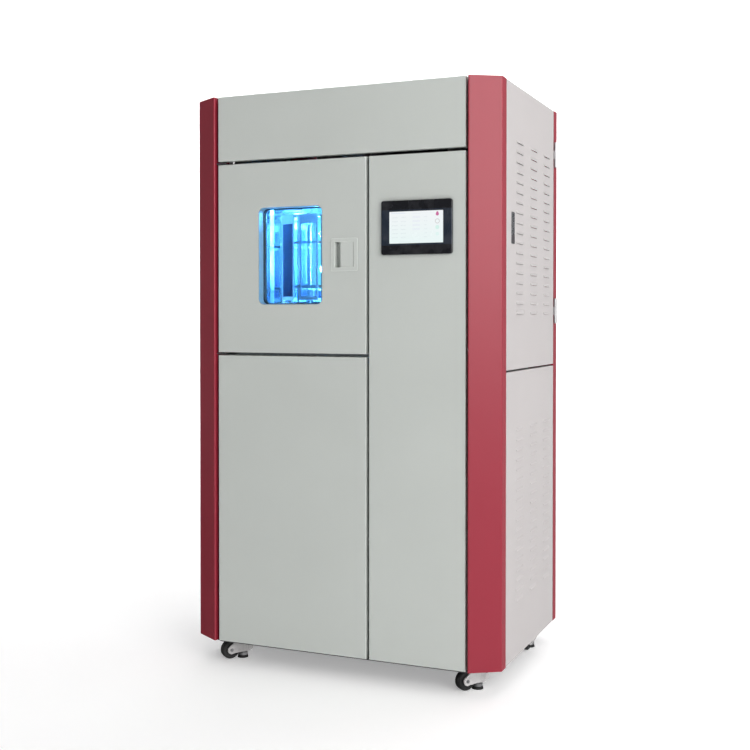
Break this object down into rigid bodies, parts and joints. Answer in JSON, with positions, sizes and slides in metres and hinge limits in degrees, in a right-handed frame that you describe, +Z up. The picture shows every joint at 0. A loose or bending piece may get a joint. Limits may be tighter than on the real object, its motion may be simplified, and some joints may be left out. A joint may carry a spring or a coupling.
{
  "type": "light fastness tester",
  "caption": "Tall cabinet on levelling casters with a windowed chamber door, an operator screen, red corner posts and louvred sides around a turning specimen rack and lamp.",
  "frame": {"origin": "on the floor under the middle of the cabinet", "axes": "+X to the right seen from the front, +Y to the back, +Z up; the front faces -Y"},
  "size_m": [0.9449, 0.6833, 1.6433],
  "materials": {
    "grey_front": "fine textured powder coat",
    "grey_side": "fine textured powder coat",
    "red_post": "wine red powder coat",
    "base_steel": "dark satin paint",
    "inner_steel": "galvanised sheet",
    "door_inside": "fine textured powder coat",
    "handle": "smooth powder coat",
    "bolt_steel": "plated steel",
    "hinge_steel": "satin stainless steel",
    "lock_chrome": "plated die casting",
    "lock_button": "dark moulded",
    "chamber_steel": "brushed stainless steel",
    "seal_rubber": "black silicone",
    "rack_steel": "brushed stainless steel",
    "holder_steel": "dark holder plates",
    "pinion_brass": "machined",
    "motor_dark": "black enamel",
    "lamp_metal": "turned",
    "lamp_glow": "lit quartz tube",
    "filter_glass": "clear filter glass",
    "pane_glass": "clear toughened glass",
    "duct_steel": "galvanised",
    "fan_plastic": "moulded",
    "device_grey": "moulded",
    "device_dark": "moulded",
    "supply_paint": "powder coat",
    "tank_plastic": "translucent white",
    "probe_steel": "stainless",
    "gland_black": "black nylon",
    "panel_gloss": "dark glossy bezel",
    "screen_lit": "lit display",
    "caster_zinc": "cast and painted",
    "caster_plated": "zinc plated",
    "wheel_nylon": "black nylon",
    "pad_rubber": "black rubber"
  },
  "bodies": {
    "cabinet": {"base_plate": "base_steel", "front_posts": "red_post", "rear_posts": "red_post", "roof_panel": "grey_side", "front_fascia": "grey_front", "lower_front_panel": "grey_front", "right_front_panel": "grey_front", "operator_panel": "panel_gloss", "operator_screen": "screen_lit", "door_pivots": "base_steel", "fixed_side_panels": "grey_side", "side_hinge_post_leaves": "hinge_steel", "rear_panels": "grey_side", "partition_wall": "inner_steel", "chamber_deck": "inner_steel", "chamber_walls": "chamber_steel", "chamber_seal": "seal_rubber", "rack_motor": "motor_dark", "lamp_head": "lamp_metal", "lamp_tube": "lamp_glow", "lamp_filter": "filter_glass", "blower_housing": "duct_steel", "blower_motor": "motor_dark", "exhaust_collar": "duct_steel", "mounting_plate": "inner_steel", "circuit_breakers": "device_grey", "contactors": "device_dark", "terminal_blocks": "device_grey", "controller": "device_dark", "lamp_power_supply": "supply_paint", "water_tank": "tank_plastic", "lamp_igniter": "supply_paint", "temperature_probe": "probe_steel", "cable_gland": "gland_black", "caster_stems": "caster_plated", "levelling_pads": "pad_rubber"},
    "chamber_door": {"chamber_door": "grey_front", "door_inner_panel": "door_inside", "window_panes": "pane_glass", "handle_cup": "door_inside"},
    "door_paddle": {"handle_paddle": "handle"},
    "door_latch": {"door_bolt": "bolt_steel"},
    "service_door": {"side_door": "grey_side", "side_hinge_door_leaves": "hinge_steel", "side_lock_cup": "lock_chrome"},
    "lock_lever": {"side_lock_lever": "lock_chrome"},
    "lock_button": {"side_lock_button": "lock_button"},
    "lock_latch": {"side_lock_bolt": "bolt_steel"},
    "rack": {"specimen_rack": "rack_steel", "specimen_holders": "holder_steel"},
    "pinion": {"motor_pinion": "pinion_brass"},
    "impeller": {"blower_impeller": "fan_plastic"},
    "front_left_fork": {"front_left_caster": "caster_zinc"},
    "front_left_wheel": {"front_left_wheel": "wheel_nylon"},
    "front_right_fork": {"front_right_caster": "caster_zinc"},
    "front_right_wheel": {"front_right_wheel": "wheel_nylon"},
    "rear_left_fork": {"rear_left_caster": "caster_zinc"},
    "rear_left_wheel": {"rear_left_wheel": "wheel_nylon"},
    "rear_right_fork": {"rear_right_caster": "caster_zinc"},
    "rear_right_wheel": {"rear_right_wheel": "wheel_nylon"}
  },
  "joints": [
    {"name": "chamber_door_hinge", "type": "hinge", "parent": "cabinet", "child": "chamber_door", "pos_m": [-0.366, -0.324, 1.1765], "axis": [0, 0, 1], "range_deg": [-105, 0]},
    {"name": "door_paddle_hinge", "type": "hinge", "parent": "chamber_door", "child": "door_paddle", "pos_m": [0.0514, -0.3306, 1.18], "axis": [0, 0, 1], "range_deg": [0, 40], "stiffness_Nm_per_rad": 0.6, "springref_deg": -8.59},
    {"name": "door_bolt_slide", "type": "slide", "parent": "chamber_door", "child": "door_latch", "axis": [1, 0, 0], "range_m": [-0.0066, 0]},
    {"name": "service_door_hinge", "type": "hinge", "parent": "cabinet", "child": "service_door", "pos_m": [0.4705, 0.259, 1.25], "axis": [0, 0, 1], "range_deg": [0, 110]},
    {"name": "lock_lever_hinge", "type": "hinge", "parent": "service_door", "child": "lock_lever", "pos_m": [0.4628, -0.196, 1.2854], "axis": [0, -1, 0], "range_deg": [0, 55], "stiffness_Nm_per_rad": 0.3, "springref_deg": -11.46},
    {"name": "lock_button_press", "type": "slide", "parent": "service_door", "child": "lock_button", "axis": [1, 0, 0], "range_m": [-0.003, 0], "stiffness_N_per_m": 500, "springref_m": 0.002},
    {"name": "lock_bolt_slide", "type": "slide", "parent": "service_door", "child": "lock_latch", "axis": [0, 1, 0], "range_m": [0, 0.003]},
    {"name": "rack_turn", "type": "hinge", "parent": "cabinet", "child": "rack", "pos_m": [-0.1433, -0.084, 0.984], "axis": [0, 0, 1], "continuous": true},
    {"name": "pinion_turn", "type": "hinge", "parent": "cabinet", "child": "pinion", "pos_m": [-0.0833, -0.084, 0.869], "axis": [0, 0, 1], "continuous": true},
    {"name": "impeller_spin", "type": "hinge", "parent": "cabinet", "child": "impeller", "pos_m": [-0.1433, 0.15, 1.323], "axis": [0, 1, 0], "continuous": true},
    {"name": "front_left_swivel", "type": "hinge", "parent": "cabinet", "child": "front_left_fork", "pos_m": [-0.344, -0.252, 0.05], "axis": [0, 0, 1], "continuous": true},
    {"name": "front_left_roll", "type": "hinge", "parent": "front_left_fork", "child": "front_left_wheel", "pos_m": [-0.36971, -0.28264, 0.028], "axis": [0.766, -0.6428, 0], "continuous": true},
    {"name": "front_right_swivel", "type": "hinge", "parent": "cabinet", "child": "front_right_fork", "pos_m": [0.385, -0.252, 0.05], "axis": [0, 0, 1], "continuous": true},
    {"name": "front_right_roll", "type": "hinge", "parent": "front_right_fork", "child": "front_right_wheel", "pos_m": [0.35929, -0.28264, 0.028], "axis": [0.766, -0.6428, 0], "continuous": true},
    {"name": "rear_left_swivel", "type": "hinge", "parent": "cabinet", "child": "rear_left_fork", "pos_m": [-0.411, 0.183, 0.05], "axis": [0, 0, 1], "continuous": true},
    {"name": "rear_left_roll", "type": "hinge", "parent": "rear_left_fork", "child": "rear_left_wheel", "pos_m": [-0.411, 0.143, 0.028], "axis": [1, 0, 0], "continuous": true},
    {"name": "rear_right_swivel", "type": "hinge", "parent": "cabinet", "child": "rear_right_fork", "pos_m": [0.411, 0.183, 0.05], "axis": [0, 0, 1], "continuous": true},
    {"name": "rear_right_roll", "type": "hinge", "parent": "rear_right_fork", "child": "rear_right_wheel", "pos_m": [0.411, 0.143, 0.028], "axis": [1, 0, 0], "continuous": true}
  ],
  "couplings": [
    {"joint": "door_bolt_slide", "follows": "door_paddle_hinge", "m_per_rad": -0.0093},
    {"joint": "lock_bolt_slide", "follows": "lock_lever_hinge", "m_per_rad": 0.0031},
    {"joint": "pinion_turn", "follows": "rack_turn", "ratio": -3}
  ]
}
